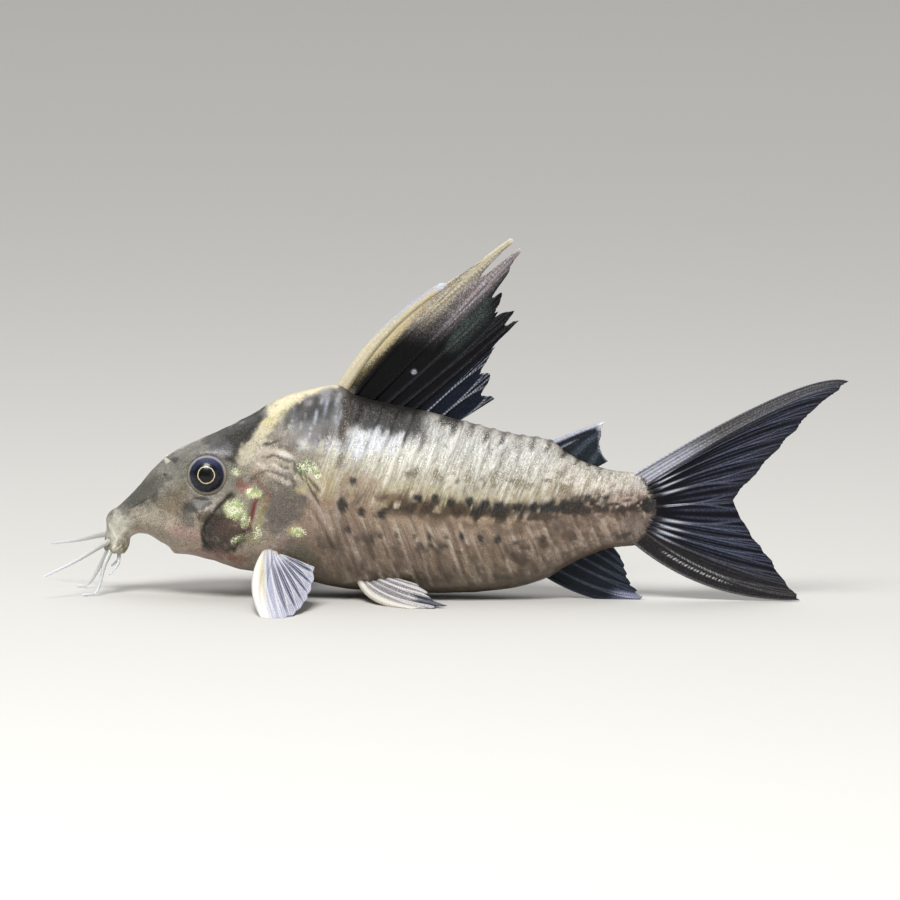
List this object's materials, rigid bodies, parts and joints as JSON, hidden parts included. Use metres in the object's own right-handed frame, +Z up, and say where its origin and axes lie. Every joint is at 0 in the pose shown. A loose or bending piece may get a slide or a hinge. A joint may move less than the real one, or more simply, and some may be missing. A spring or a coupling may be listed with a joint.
{
  "type": "corydoras catfish figure",
  "caption": "Long-snouted armoured catfish resting on its fins: high dorsal fin, forked tail, plated flanks and barbels round the mouth, a still life-size model.",
  "frame": {"origin": "middle of the fish's box on the surface that it rests on", "axes": "+X from snout to tail, +Y to the fish's right side, +Z up; the left side, the one in the picture, faces -Y"},
  "size_m": [0.0891, 0.043, 0.0401],
  "materials": {
    "head_skin": "smooth wet skin, olive grey with fine speckles",
    "body_skin": "wet bony plates, silvery cream with dark blotches",
    "gill_skin": "thin wet skin over bone, brown with green and pink sheen",
    "eye": "polished, blue-black with a pale ring",
    "barbel_skin": "soft pale skin",
    "dark_fin": "dark slate membrane with paler rays",
    "pale_fin": "whitish rays with blue-grey membrane"
  },
  "bodies": {
    "root": {"head": "head_skin", "trunk": "body_skin", "tail_stalk": "body_skin", "gill_cover_left": "gill_skin", "gill_cover_right": "gill_skin", "eye_left": "eye", "eye_right": "eye", "barbel_maxillary_left": "barbel_skin", "barbel_maxillary_right": "barbel_skin", "barbel_outer_mental_left": "barbel_skin", "barbel_outer_mental_right": "barbel_skin", "barbel_inner_mental_left": "barbel_skin", "barbel_inner_mental_right": "barbel_skin", "dorsal_fin": "dark_fin", "adipose_fin": "dark_fin", "anal_fin": "dark_fin", "caudal_fin_upper": "dark_fin", "caudal_fin_lower": "dark_fin", "pectoral_fin_left": "pale_fin", "pectoral_fin_right": "pale_fin", "pelvic_fin_left": "pale_fin", "pelvic_fin_right": "pale_fin"}
  },
  "joints": []
}
